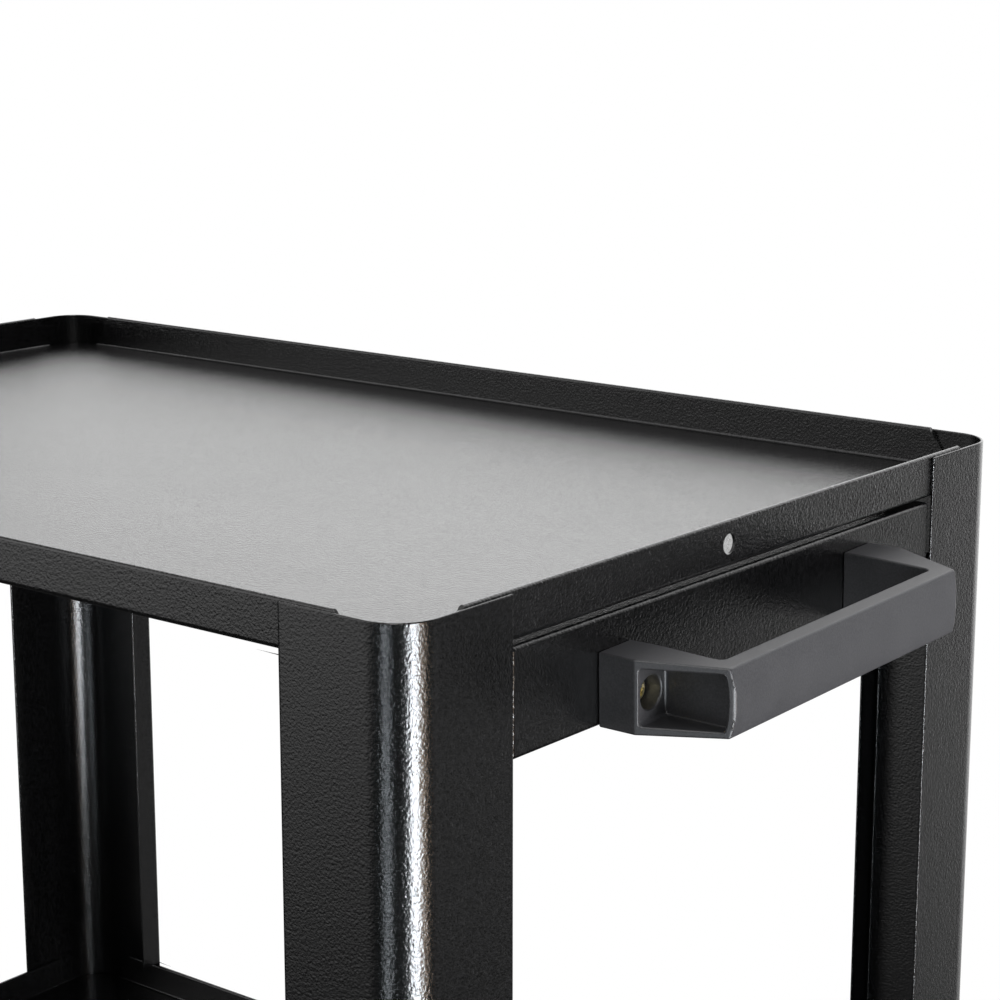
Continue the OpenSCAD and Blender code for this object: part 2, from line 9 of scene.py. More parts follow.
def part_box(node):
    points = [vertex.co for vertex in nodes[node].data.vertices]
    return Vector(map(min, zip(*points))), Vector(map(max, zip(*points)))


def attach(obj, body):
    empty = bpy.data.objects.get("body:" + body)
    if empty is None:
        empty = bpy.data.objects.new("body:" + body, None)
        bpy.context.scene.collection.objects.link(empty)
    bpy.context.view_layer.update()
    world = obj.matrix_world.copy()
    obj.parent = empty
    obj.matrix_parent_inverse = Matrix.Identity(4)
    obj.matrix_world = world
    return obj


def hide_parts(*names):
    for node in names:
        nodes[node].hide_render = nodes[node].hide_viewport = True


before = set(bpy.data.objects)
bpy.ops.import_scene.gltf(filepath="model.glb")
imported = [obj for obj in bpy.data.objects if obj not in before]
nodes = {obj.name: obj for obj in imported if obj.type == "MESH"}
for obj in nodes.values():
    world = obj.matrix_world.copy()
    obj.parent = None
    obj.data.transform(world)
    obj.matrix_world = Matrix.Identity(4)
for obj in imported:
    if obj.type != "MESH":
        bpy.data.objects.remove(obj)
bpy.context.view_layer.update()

# ---------------------------------------------------------------------------- trays
# Three equal pressings of 1.2 mm steel sheet. The floor turns up through a small bend
# into four lips, whose rims are hemmed inwards, and each lip stops at a slant short of
# the corner, where a post closes the rim. Black powder coat with an orange-peel skin.
mm = 0.001
sheet = 1.2 * mm
lip_bend_r = 2.5 * mm
hem = 5 * mm
lip_start_low = 21 * mm
lip_start_top = 33 * mm
floor_corner_gap = 1 * mm
floor_corner_r = 15.8 * mm
lip_hole_r = 4.1 * mm
lip_hole_y = -11 * mm
past = 1 * mm  # how far a cutter or a joined part passes the face that it meets


class Wire:
    """An output in a node tree. Sums on it add Math nodes, and node() adds any other node."""

    def __init__(self, tree, socket):
        self.tree = tree
        self.socket = socket

    def node(self, kind, inputs, out=0, **settings):
        made = self.tree.nodes.new(kind)
        for key, value in settings.items():
            setattr(made, key, value)
        for key, value in inputs.items():
            if isinstance(value, Wire):
                self.tree.links.new(value.socket, made.inputs[key])
            else:
                made.inputs[key].default_value = value
        return Wire(self.tree, made.outputs[out] if made.outputs else None)

    def math(self, operation, first, second):
        return self.node("ShaderNodeMath", {0: first, 1: second}, operation=operation)

    def __add__(self, other):
        return self.math("ADD", self, other)

    def __radd__(self, other):
        return self.math("ADD", other, self)

    def __sub__(self, other):
        return self.math("SUBTRACT", self, other)

    def __rsub__(self, other):
        return self.math("SUBTRACT", other, self)

    def __mul__(self, other):
        return self.math("MULTIPLY", self, other)

    def __rmul__(self, other):
        return self.math("MULTIPLY", other, self)


def new_material(name):
    """An empty material, and the Object coordinates that its patterns start from."""
    made = bpy.data.materials.new(name)
    made.use_nodes = True
    made.node_tree.nodes.clear()
    place = made.node_tree.nodes.new("ShaderNodeTexCoord").outputs["Object"]
    return made, Wire(made.node_tree, place)


def blend_colours(mask, low, high):
    return mask.node("ShaderNodeMix", {"Factor": mask, 6: (*low, 1), 7: (*high, 1)}, out=2,
                     data_type="RGBA")


def close_material(place, sockets):
    shader = place.node("ShaderNodeBsdfPrincipled", sockets)
    place.node("ShaderNodeOutputMaterial", {"Surface": shader})


def powder_coat(name, pit, peak, gloss, skin):
    """Textured black powder coat: fine flowed grain whose pits are duller, and faint handling marks."""
    paint, place = new_material(name)
    grain = place.node("ShaderNodeTexNoise", {
        "Vector": place, "Scale": 800, "Detail": 3, "Roughness": 0.6, "Distortion": 0.15})
    speckle = place.node("ShaderNodeTexVoronoi", {"Vector": place, "Scale": 1100}, feature="SMOOTH_F1")
    waves = place.node("ShaderNodeTexNoise", {"Vector": place, "Scale": 45, "Detail": 2})
    marks = place.node("ShaderNodeTexNoise", {"Vector": place, "Scale": 9, "Detail": 5, "Roughness": 0.65})
    height = grain + 0.4 * speckle + 0.3 * waves
    bump = place.node("ShaderNodeBump", {"Strength": 1, "Distance": skin, "Height": height})
    peaks = place.node("ShaderNodeMapRange", {
        "Value": grain + 0.3 * speckle, "From Min": 0.52, "From Max": 0.74})
    worn = place.node("ShaderNodeMapRange", {"Value": marks, "From Min": 0.45, "From Max": 0.75})
    close_material(place, {
        "Base Color": blend_colours(peaks, pit, peak),
        "Roughness": gloss + 0.03 * worn + 0.04 * grain,
        "IOR": 1.5,
        "Normal": bump,
    })
    return paint


tray_paint = powder_coat("tray_paint", (0.001, 0.001, 0.001), (0.007, 0.007, 0.0075), 0.19, 0.24 * mm)


def fillet(corners, steps=6):
    """The outline through (x, y, radius) corners, with an arc at each corner whose radius isn't 0."""
    points = []
    for i, (x, y, radius) in enumerate(corners):
        here = Vector((x, y))
        if radius == 0:
            points.append(here)
            continue
        back = (Vector(corners[i - 1][:2]) - here).normalized()
        ahead = (Vector(corners[(i + 1) % len(corners)][:2]) - here).normalized()
        half = back.angle(ahead) / 2
        centre = here + (back + ahead).normalized() * (radius / math.sin(half))
        start = here + back * (radius / math.tan(half)) - centre
        turn = math.pi - 2 * half
        if back.x * ahead.y - back.y * ahead.x > 0:
            turn = -turn
        for k in range(steps + 1):
            points.append(centre + Matrix.Rotation(turn * k / steps, 2) @ start)
    return points


def loft(name, rings, closed=False):
    """A solid through rings of points: capped at both ends, or closed into a loop."""
    shape = bmesh.new()
    made = [[shape.verts.new(p) for p in ring] for ring in rings]
    count = len(rings[0])
    pairs = list(zip(made, made[1:] + made[:1])) if closed else list(zip(made, made[1:]))
    for low, high in pairs:
        for i in range(count):
            j = (i + 1) % count
            shape.faces.new((low[i], low[j], high[j], high[i]))
    if not closed:
        shape.faces.new(made[0])
        shape.faces.new(made[-1])
    bmesh.ops.remove_doubles(shape, verts=shape.verts, dist=0.001 * mm)
    bmesh.ops.recalc_face_normals(shape, faces=shape.faces)
    mesh = bpy.data.meshes.new(name)
    shape.to_mesh(mesh)
    shape.free()
    piece = bpy.data.objects.new(name, mesh)
    bpy.context.scene.collection.objects.link(piece)
    return piece


def bake(piece):
    """Applies a piece's modifiers, so that it is a plain mesh."""
    bpy.context.view_layer.update()
    mesh = bpy.data.meshes.new_from_object(piece.evaluated_get(bpy.context.evaluated_depsgraph_get()))
    piece.modifiers.clear()
    piece.data = mesh
    return piece


def combine(piece, operation, others):
    """Cuts the other solids from a piece, or joins them to it, and removes them."""
    for other in others:
        step = piece.modifiers.new("combine", "BOOLEAN")
        step.operation = operation
        step.solver = "EXACT"
        step.object = other
    bake(piece)
    for other in others:
        bpy.data.objects.remove(other)
    return piece


def box_solid(low, high):
    ring = [(low[0], low[1]), (high[0], low[1]), (high[0], high[1]), (low[0], high[1])]
    return loft("cutter", [[(x, y, z) for x, y in ring] for z in (low[2], high[2])])


def rod(start, end, radius, steps=32, end_radius=None):
    """A round bar or a cone from one point to another."""
    start, end = Vector(start), Vector(end)
    turn = (end - start).to_track_quat("Z", "Y")
    rings = []
    for centre, r in ((start, radius), (end, radius if end_radius is None else end_radius)):
        angles = [2 * math.pi * k / steps for k in range(steps)]
        rings.append([centre + turn @ Vector((r * math.cos(a), r * math.sin(a), 0)) for a in angles])
    return loft("rod", rings)


def finish_piece(piece, material, body, replaced, bevel=0.25 * mm, angle=35, segments=2, clamp=True):
    """Softens the edges of a finished solid, paints it and hangs it on its body."""
    if bevel:
        edge = piece.modifiers.new("edge", "BEVEL")
        edge.width = bevel
        edge.segments = segments
        edge.limit_method = "ANGLE"
        edge.angle_limit = math.radians(angle)
        edge.use_clamp_overlap = clamp
        edge.harden_normals = True
    piece.data.shade_smooth()
    evening = piece.modifiers.new("evening", "WEIGHTED_NORMAL")
    evening.keep_sharp = True
    bake(piece)
    piece.data.materials.clear()
    piece.data.materials.append(material)
    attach(piece, body)
    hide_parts(*replaced)
    return piece


def tray(name, low, high):
    half_l, half_w = (high.x - low.x) / 2, (high.y - low.y) / 2
    mid_x = (high.x + low.x) / 2
    height = high.z - low.z
    end_x = half_l + sheet - lip_start_low
    end_y = half_w + sheet - lip_start_low
    edge_x, edge_y = half_l - floor_corner_gap, half_w - floor_corner_gap
    corner = [
        (half_l - lip_bend_r, end_y, 0), (edge_x, end_y, 0), (edge_x, edge_y, floor_corner_r),
        (end_x, edge_y, 0), (end_x, half_w - lip_bend_r, 0)]
    outline = []
    for sx, sy in ((1, 1), (-1, 1), (-1, -1), (1, -1)):
        quarter = corner if sx * sy > 0 else corner[::-1]
        outline += [(mid_x + sx * x, sy * y, r) for x, y, r in quarter]
    floor_plate = loft(name, [
        [(p.x, p.y, low.z + z) for p in fillet(outline, steps=10)] for z in (0, sheet)])
    tongue = lip_bend_r + past
    profile = fillet([
        (tongue, 0, 0), (0, 0, lip_bend_r), (0, height, sheet), (2 * sheet, height, sheet),
        (2 * sheet, height - hem, 0), (sheet, height - hem, 0),
        (sheet, sheet, lip_bend_r - sheet), (tongue, sheet, 0)])
    lips = []
    for turn, half, reach in ((0, half_l, half_w), (90, half_w, half_l),
                              (180, half_l, half_w), (270, half_w, half_l)):
        spin = Matrix.Rotation(math.radians(turn), 3, "Z")
        rings = []
        for side in (-1, 1):
            ring = []
            for y, z in profile:
                start = lip_start_low + (lip_start_top - lip_start_low) * z / height
                ring.append(Vector((mid_x, 0, low.z)) + spin @ Vector(
                    (side * (half + sheet - start), y - reach, z)))
            rings.append(ring)
        lips.append(loft("lip", rings))
    combine(floor_plate, "UNION", lips)
    hole_z = low.z + height / 2
    hole = rod((high.x - 5 * past, lip_hole_y, hole_z), (high.x + 5 * past, lip_hole_y, hole_z), lip_hole_r)
    return combine(floor_plate, "DIFFERENCE", [hole])


for level in ("top", "middle", "bottom"):
    node = f"{level}_tray"
    pressing = tray(f"{level}_tray_pressing", *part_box(node))
    finish_piece(pressing, tray_paint, "frame", [node])

# ---------------------------------------------------------------------------- posts
# Four folded angles of the same sheet, with an 18 mm corner. The leg on the cart's long
# side has a flange turned in along its edge, cut away where the trays pass, and the leg
# on the short side ends in a raw edge. They are welded to the trays' lips.
post_leg = 58 * mm
post_r = 18 * mm
post_return = 15 * mm
return_bend_r = 2.4 * mm
return_gap = 1.5 * mm
frame_paint = powder_coat("frame_paint", (0.0005, 0.0005, 0.0005), (0.006, 0.006, 0.0065), 0.19, 0.17 * mm)


def fold(corners, thickness):
    """The closed outline of a bent sheet from its outer corners, with the sheet lying to their left."""
    inner = []
    for i, (x, y, radius) in enumerate(corners):
        here = Vector((x, y))
        sides = []
        if i > 0:
            sides.append((here - Vector(corners[i - 1][:2])).normalized())
        if i < len(corners) - 1:
            sides.append((Vector(corners[i + 1][:2]) - here).normalized())
        normals = [Vector((-s.y, s.x)) for s in sides]
        shift = sum(normals, Vector((0, 0)))
        shift *= thickness / (shift.dot(normals[0]))
        turn_left = len(sides) == 2 and sides[0].x * sides[1].y - sides[0].y * sides[1].x > 0
        less = thickness if turn_left else -thickness
        inner.append((x + shift.x, y + shift.y, radius - less if radius else 0))
    return list(corners) + inner[::-1]


post_outline = fillet(fold([
    (0, post_leg, 0), (0, 0, post_r), (post_leg, 0, return_bend_r),
    (post_leg, post_return, 0)], sheet), steps=12)
tray_spans = [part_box(f"{level}_tray") for level in ("bottom", "middle", "top")]
for end, x_sign in (("rear", 1), ("front", -1)):
    for side, y_sign in (("left", -1), ("right", 1)):
        node = f"post_{end}_{side}"
        low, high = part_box(node)
        corner = Vector((high.x if x_sign > 0 else low.x, high.y if y_sign > 0 else low.y, 0))

        def from_corner(x, y, z):
            return (corner.x - x_sign * x, corner.y - y_sign * y, z)

        post = loft(node + "_angle", [
            [from_corner(x, y, z) for x, y in post_outline] for z in (low.z, high.z)])
        cuts = []
        for i, (tray_low, tray_high) in enumerate(tray_spans):
            bottom = low.z - past if i == 0 else tray_low.z - return_gap
            a = from_corner(post_leg - return_bend_r - past / 2, sheet, bottom)
            b = from_corner(post_leg + past / 2, sheet + post_return, tray_high.z + return_gap)
            cuts.append(box_solid([min(p) for p in zip(a, b)], [max(p) for p in zip(a, b)]))
        combine(post, "DIFFERENCE", cuts)
        finish_piece(post, frame_paint, "frame", [node], bevel=0.45 * mm, angle=25, segments=3,
                     clamp=False)

# ------------------------------------------------------------------------ end panel
# A shallow pan pressed from the same sheet under the handle-end lip, its four edges
# turned back through a 2 mm bend. Two tabs at its lower corners reach behind the posts,
# where they are welded, and two holes take the handle's screws.
panel_depth = 16 * mm
panel_r = 2 * mm
panel_gap = 0.5 * mm
panel_tab = 20 * mm
panel_tab_h = 14 * mm
panel_tab_rise = 2 * mm
screw_pitch = 174 * mm
handle_lean = math.radians(1.4)
screw_hole_r = 2.65 * mm
low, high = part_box("end_panel")
panel_half = (high.y - low.y) / 2 - panel_gap - panel_tab
handle_low, handle_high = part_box("handle")
handle_z = (handle_low.z + handle_high.z) / 2
pivot = Matrix.Translation((0, 0, handle_z))
lean = pivot @ Matrix.Rotation(handle_lean, 4, "X") @ pivot.inverted()
panel_face = [(-panel_half, low.z), (panel_half, low.z), (panel_half, high.z), (-panel_half, high.z)]
pan = loft("end_panel_pan", [[(x, y, z) for y, z in panel_face] for x in (high.x, high.x - panel_depth)])
shell = bmesh.new()
shell.from_mesh(pan.data)
open_back = [f for f in shell.faces if max(v.co.x for v in f.verts) < high.x - past]
bmesh.ops.delete(shell, geom=open_back, context="FACES_ONLY")
bent = [e for e in shell.edges if not e.is_boundary]
bmesh.ops.bevel(shell, geom=bent, offset=panel_r, segments=6, profile=0.5, affect="EDGES")
shell.to_mesh(pan.data)
shell.free()
wall = pan.modifiers.new("wall", "SOLIDIFY")
wall.thickness = sheet
wall.offset = -1
wall.use_even_offset = True
bake(pan)
tab_low = low.z + panel_r + panel_tab_rise
tabs = []
for s in (-1, 1):
    near, far = sorted((s * (panel_half - panel_r), s * high.y))
    tabs.append(box_solid((high.x - 2 * sheet, near, tab_low), (high.x - sheet, far, tab_low + panel_tab_h)))
combine(pan, "UNION", tabs)
combine(pan, "DIFFERENCE", [
    rod(lean @ Vector((high.x - 2 * panel_depth, s * screw_pitch / 2, handle_z)),
        lean @ Vector((high.x + panel_depth, s * screw_pitch / 2, handle_z)), screw_hole_r) for s in (-1, 1)])
finish_piece(pan, frame_paint, "frame", ["end_panel"])

# --------------------------------------------------------------------------- handle
# One moulding in dark grey plastic with a fine matte grain, its grip crowned at the front.
# Its ends slope in towards the grip, and each has a deep pocket with a counterbore at the
# bottom for a screw. It sits on the panel with its right end a little higher.
handle_l = 191.5 * mm
handle_h = 28.6 * mm
foot_depth = 16 * mm
foot_edge_r = 3 * mm
grip_l = 162 * mm
grip_h = 26.5 * mm
grip_t = 9.5 * mm
grip_crown = 2 * mm
grip_edge_r = 2.5 * mm
finger_w = 151 * mm
finger_r = 3.5 * mm
web = 2.5 * mm
rim = 2.5 * mm
screw_seat = 9 * mm
counterbore_r = 6.5 * mm
edge_rim = 1.3 * mm
pocket_r = 1.6 * mm


def moulded_plastic(name, dark, light, gloss, skin):
    """Moulded plastic: a fine eroded grain, slow flow marks and a little rubbing that lightens it."""
    plastic, place = new_material(name)
    grain = place.node("ShaderNodeTexNoise", {"Vector": place, "Scale": 1300, "Detail": 3, "Roughness": 0.6})
    flow = place.node("ShaderNodeTexNoise", {"Vector": place, "Scale": 60, "Detail": 4, "Roughness": 0.6})
    scuffs = place.node("ShaderNodeMapRange", {"Value": flow, "From Min": 0.4, "From Max": 0.7})
    peaks = place.node("ShaderNodeMapRange", {"Value": grain, "From Min": 0.36, "From Max": 0.66})
    close_material(place, {
        "Base Color": blend_colours(0.7 * peaks + 0.3 * scuffs, dark, light),
        "Roughness": gloss + 0.05 * scuffs + 0.06 * peaks,
        "Normal": place.node("ShaderNodeBump", {
            "Strength": 0.8, "Distance": skin, "Height": grain + 0.4 * flow}),
    })
    return plastic


handle_plastic = moulded_plastic(
    "handle_plastic", (0.042, 0.042, 0.047), (0.072, 0.072, 0.078), 0.43, 0.07 * mm)
low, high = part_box("handle")
back_x = low.x
depth = high.x - low.x
half_l = handle_l / 2
foot_half = handle_h / 2
front_r = (grip_h ** 2 / 4 + grip_crown ** 2) / (2 * grip_crown)


def crowned_front(half_height, radius, steps):
    """Points (x, z) up the crowned front, from -half_height to half_height."""
    heights = [half_height * (2 * k / steps - 1) for k in range(steps + 1)]
    return [(depth - front_r + math.sqrt(radius ** 2 - z ** 2), z) for z in heights]


plan = fillet([
    (0, -half_l, 0), (foot_depth, -half_l, foot_edge_r), (depth, -grip_l / 2, grip_edge_r),
    (depth, grip_l / 2, grip_edge_r), (foot_depth, half_l, foot_edge_r), (0, half_l, 0),
    (0, finger_w / 2, 0), (depth - grip_t, finger_w / 2, finger_r),
    (depth - grip_t, -finger_w / 2, finger_r), (0, -finger_w / 2, 0)], steps=8)
handle = loft("handle_moulding", [[(back_x + x, y, handle_z + z) for x, y in plan]
                                  for z in (-foot_half, foot_half)])
taper_side = [(foot_depth, foot_half), (-past, foot_half), (-past, -foot_half), (foot_depth, -foot_half)]
taper_side += crowned_front(grip_h / 2, front_r, steps=16)
taper = loft("taper", [[(back_x + x, y, handle_z + z) for x, z in taper_side]
                       for y in (-half_l - 5 * past, half_l + 5 * past)])
combine(handle, "INTERSECT", [taper])
pocket_back = finger_w / 2 + web
pocket_half = grip_h / 2 - rim
for s in (-1, 1):
    # The pocket opens through the sloping end, follows the crown and sinks in to the web
    front = [(x, z, 0) for x, z in crowned_front(pocket_half, front_r - rim, steps=6)]
    front[0] = (*front[0][:2], pocket_r)
    front[-1] = (*front[-1][:2], pocket_r)
    outline = fillet([(foot_depth + edge_rim, pocket_half, pocket_r),
                      (foot_depth + edge_rim, -pocket_half, pocket_r)] + front)
    combine(handle, "DIFFERENCE", [loft("pocket", [
        [(back_x + x, s * y, handle_z + z) for x, z in outline] for y in (pocket_back, half_l + 2 * past)])])
    combine(handle, "DIFFERENCE", [
        rod((back_x + screw_seat, s * screw_pitch / 2, handle_z),
            (back_x + foot_depth + 2 * edge_rim, s * screw_pitch / 2, handle_z), counterbore_r, steps=40),
        rod((back_x - past, s * screw_pitch / 2, handle_z),
            (back_x + foot_depth, s * screw_pitch / 2, handle_z), screw_hole_r)])


def merge_flats(mesh, reach, angle, split=False):
    """Joins each flat's faces into one. Split, those past four corners become triangles again, so that
    none folds over a hollow."""
    clean = bmesh.new()
    clean.from_mesh(mesh)
    bmesh.ops.remove_doubles(clean, verts=clean.verts, dist=reach)
    bmesh.ops.dissolve_limit(clean, angle_limit=math.radians(angle), verts=clean.verts, edges=clean.edges)
    bmesh.ops.recalc_face_normals(clean, faces=clean.faces)
    if split:
        bmesh.ops.triangulate(clean, faces=[f for f in clean.faces if len(f.verts) > 4])
    clean.to_mesh(mesh)
    clean.free()


merge_flats(handle.data, 0.02 * mm, 0.5, split=True)
handle.data.transform(lean)
finish_piece(handle, handle_plastic, "frame", ["handle"], bevel=0.8 * mm, angle=30,
             segments=4, clamp=False)

# -------------------------------------------------------------------- handle screws
# Two M5 pan head screws with a cross recess, yellow passivated, put in through the
# pockets. Behind the panel each has a plain washer and a hex nut in bright zinc.
screw_r = 2.5 * mm
screw_head_r = 5 * mm
screw_head_h = 3.6 * mm
screw_dome = 2.2 * mm
recess_turn = 22
recess_foot = (1.2 * mm, 0.5 * mm)  # half length and half width of each slot of the cross
recess_mouth = (3.1 * mm, 0.72 * mm)
washer_t = 1 * mm
screw_nut_h = 4 * mm
screw_nut_w = 8 * mm
bore_room = 0.05 * mm


def plated_metal(name, dark, light, gloss, tint=None):
    """Zinc plate: soft cloudy patches, fine directionless scratches and a dull bloom in places."""
    metal, place = new_material(name)
    clouds = place.node("ShaderNodeTexNoise", {"Vector": place, "Scale": 130, "Detail": 5, "Roughness": 0.6})
    spangle = place.node("ShaderNodeTexVoronoi", {"Vector": place, "Scale": 420}, out="Color")
    patches = place.node("ShaderNodeMapRange", {"Value": clouds, "From Min": 0.35, "From Max": 0.68})
    colour = blend_colours(patches, dark, light)
    if tint:
        film = place.node("ShaderNodeTexNoise", {"Vector": place, "Scale": 260, "Detail": 1})
        bands = place.node("ShaderNodeMapRange", {"Value": film, "From Min": 0.48, "From Max": 0.62})
        colour = place.node("ShaderNodeMix", {"Factor": bands, 6: colour, 7: (*tint, 1)}, out=2,
                            data_type="RGBA")
    facets = place.node("ShaderNodeRGBToBW", {"Color": spangle})
    close_material(place, {
        "Base Color": colour,
        "Metallic": 1,
        "Roughness": gloss + 0.14 * patches + 0.05 * facets,
        "Normal": place.node("ShaderNodeBump", {
            "Strength": 0.5, "Distance": 0.02 * mm, "Height": clouds + 0.3 * facets}),
    })
    return metal


yellow_zinc = plated_metal("yellow_zinc", (0.66, 0.54, 0.22), (0.84, 0.76, 0.45), 0.26, (0.70, 0.64, 0.50))
bright_zinc = plated_metal("bright_zinc", (0.52, 0.53, 0.56), (0.68, 0.69, 0.71), 0.18)


def turned(name, profile, steps=48):
    """A solid turned about Z through (radius, z) points, which start and end on the axis or form a ring."""
    rings = []
    for k in range(steps):
        a = 2 * math.pi * k / steps
        rings.append([(r * math.cos(a), r * math.sin(a), z) for r, z in profile])
    piece = loft(name, rings, closed=True)
    clean = bmesh.new()
    clean.from_mesh(piece.data)
    bmesh.ops.delete(clean, geom=[e for e in clean.edges if not e.link_faces], context="EDGES")
    clean.to_mesh(piece.data)
    clean.free()
    return piece


def threaded(radius, start, end, pitch):
    """Profile of a screw's shank: ridges one pitch apart between two heights."""
    points = []
    turns = max(1, round(abs(end - start) / pitch))
    for k in range(turns):
        a = start + (end - start) * k / turns
        b = start + (end - start) * (k + 1) / turns
        points += [(radius, a * 0.8 + b * 0.2), (radius - 0.54 * pitch, a * 0.4 + b * 0.6)]
    return points


def hexagon(width, height, bore=0, both=False):
    """A hex head or nut on z = 0: corners chamfered at the top or at both faces, and bored if it's a nut."""
    reach = width / math.sqrt(3)
    prism = loft("hex", [[(reach * math.cos(math.pi * k / 3), reach * math.sin(math.pi * k / 3), z)
                          for k in range(6)] for z in (0, height)])
    flat_r = 0.47 * width
    outer_r = reach + 0.2 * mm
    fall = (outer_r - flat_r) / math.sqrt(3)
    profile = [(flat_r, height), (outer_r, height - fall)]
    profile += [(outer_r, fall), (flat_r, 0)] if both else [(outer_r, 0)]
    combine(prism, "INTERSECT", [turned("chamfer", [(0, height)] + profile + [(0, 0)], steps=72)])
    if bore:
        countersink = 0.5 * mm
        mouth_r = bore + countersink + past
        combine(prism, "DIFFERENCE", [turned("bore", [
            (0, -past), (mouth_r, -past), (bore, countersink), (bore, height - countersink),
            (mouth_r, height + past), (0, height + past)])])
    return prism


def moved_copy(unit, matrix):
    """A copy of a finished unit solid, put in place by a matrix that may mirror it."""
    mesh = unit.data.copy()
    mesh.transform(matrix)
    if matrix.determinant() < 0:
        mesh.flip_normals()
    piece = bpy.data.objects.new(unit.name, mesh)
    bpy.context.scene.collection.objects.link(piece)
    return piece


def joined(name, parts):
    """Several separate solids as one mesh."""
    whole = bmesh.new()
    for part in parts:
        whole.from_mesh(part.data)
    mesh = bpy.data.meshes.new(name)
    whole.to_mesh(mesh)
    whole.free()
    for part in parts:
        bpy.data.objects.remove(part)
    piece = bpy.data.objects.new(name, mesh)
    bpy.context.scene.collection.objects.link(piece)
    return piece


def set_on_screws(name, unit, node, material, bevel):
    """One copy of a unit on each handle screw, z pointing out of the panel."""
    out_of_panel = Matrix.Rotation(math.pi / 2, 4, "Y")
    seats = [lean @ Matrix.Translation((back_x, s * screw_pitch / 2, handle_z)) @ out_of_panel
             for s in (-1, 1)]
    pair = joined(name, [moved_copy(unit, seat) for seat in seats])
    bpy.data.objects.remove(unit)
    finish_piece(pair, material, "frame", [node], bevel=bevel)


screw_back = 2 * sheet + washer_t + screw_nut_h + 1 * mm
dome = [(screw_head_r * math.sin(a), screw_seat + screw_head_h - screw_dome * (1 - math.cos(a)))
        for a in (math.radians(6 * k) for k in range(1, 13))]
screw = turned("handle_screw", [(0, screw_seat + screw_head_h)] + dome + [
    (screw_head_r, screw_seat + 0.5 * mm), (screw_head_r - 0.3 * mm, screw_seat), (screw_r, screw_seat)]
    + threaded(screw_r, -sheet, -screw_back, 0.8 * mm) + [(0, -screw_back)], steps=64)
recess_top = screw_seat + screw_head_h + 0.5 * mm
recess_bottom = screw_seat + 0.9 * mm
slots = []
for a in (0, 90):
    spin = Matrix.Rotation(math.radians(a + recess_turn), 4, "Z")
    rings = []
    for z, (length, width) in ((recess_bottom, recess_foot), (recess_top, recess_mouth)):
        rings.append([spin @ Vector((x, y, z)) for x, y in (
            (-length, -width), (length, -width), (length, width), (-length, width))])
    slots.append(loft("recess", rings))
slots.append(rod((0, 0, recess_bottom - 0.5 * mm), (0, 0, recess_top), 0.5 * mm, steps=16,
                 end_radius=1.5 * mm))
for cutter in slots:
    combine(screw, "DIFFERENCE", [cutter])
set_on_screws("handle_screw_pair", screw, "handle_screws", yellow_zinc, 0.08 * mm)
washer_z = -sheet - washer_t
washer = turned("handle_washer", [
    (screw_hole_r, washer_z), (2 * screw_r, washer_z), (2 * screw_r, -sheet), (screw_hole_r, -sheet)])
set_on_screws("handle_washer_pair", washer, "handle_washers", bright_zinc, 0.12 * mm)
nut = hexagon(screw_nut_w, screw_nut_h, screw_r + bore_room, both=True)
nut.data.transform(Matrix.Translation((0, 0, washer_z - screw_nut_h)))
set_on_screws("handle_nut_pair", nut, "handle_nuts", bright_zinc, 0.1 * mm)

# ---------------------------------------------------------------------------- rails
# Two hat-shaped rails of 2 mm sheet under the bottom tray, welded to it by their feet.
# Their webs are drilled for the casters' bolts and cleared for the kingpins' heads.
rail_t = 2 * mm
rail_w = 78 * mm
rail_foot = 10 * mm
rail_foot_r = 1 * mm
rail_corner_r = 3 * mm
caster_inset = 60 * mm
bolt_pitch_x = 46 * mm
bolt_pitch_y = 75 * mm
bolt_hole_r = 4.25 * mm
kingpin_room_r = 13 * mm
cart_half_w = -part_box("post_rear_left")[0].y
caster_y = cart_half_w - caster_inset
caster_x = {"rear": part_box("post_rear_left")[1].x - caster_inset,
            "front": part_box("post_front_left")[0].x + caster_inset}
for end in ("rear", "front"):
    low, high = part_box(f"{end}_rail")
    height = high.z - low.z
    outline = fillet(fold([
        (-rail_w / 2 - rail_foot, height - rail_t, 0), (-rail_w / 2, height - rail_t, rail_foot_r),
        (-rail_w / 2, 0, rail_corner_r), (rail_w / 2, 0, rail_corner_r),
        (rail_w / 2, height - rail_t, rail_foot_r),
        (rail_w / 2 + rail_foot, height - rail_t, 0)], rail_t))
    rail = loft(f"{end}_hat_rail", [[(caster_x[end] + x, y, low.z + z) for x, z in outline]
                                    for y in (low.y, high.y)])
    holes = []
    for s in (-1, 1):
        holes.append((caster_x[end], s * caster_y, kingpin_room_r))
        holes += [(caster_x[end] + i * bolt_pitch_x / 2, s * caster_y + j * bolt_pitch_y / 2, bolt_hole_r)
                  for i in (-1, 1) for j in (-1, 1)]
    combine(rail, "DIFFERENCE", [
        rod((x, y, low.z - past), (x, y, low.z + rail_t + past), r) for x, y, r in holes])
    finish_piece(rail, frame_paint, "frame", [f"{end}_rail"])

# ----------------------------------------------------- caster bolts and weld nuts
# Four M8 hex bolts and weld nuts hold each caster's plate to its rail. They and the
# balls of the swivels repeat on points, so node trees set them out.
bolt_r = 4 * mm
bolt_head_w = 12.8 * mm
bolt_head_h = 5.2 * mm
m8_pitch = 1.25 * mm
weld_nut_h = 6.4 * mm
plate_t = 3 * mm


def socket_of(tree, name):
    """Identifier of a tree's named input, by which a modifier sets it."""
    return next(s.identifier for s in tree.interface.items_tree if s.name == name and s.in_out == "INPUT")


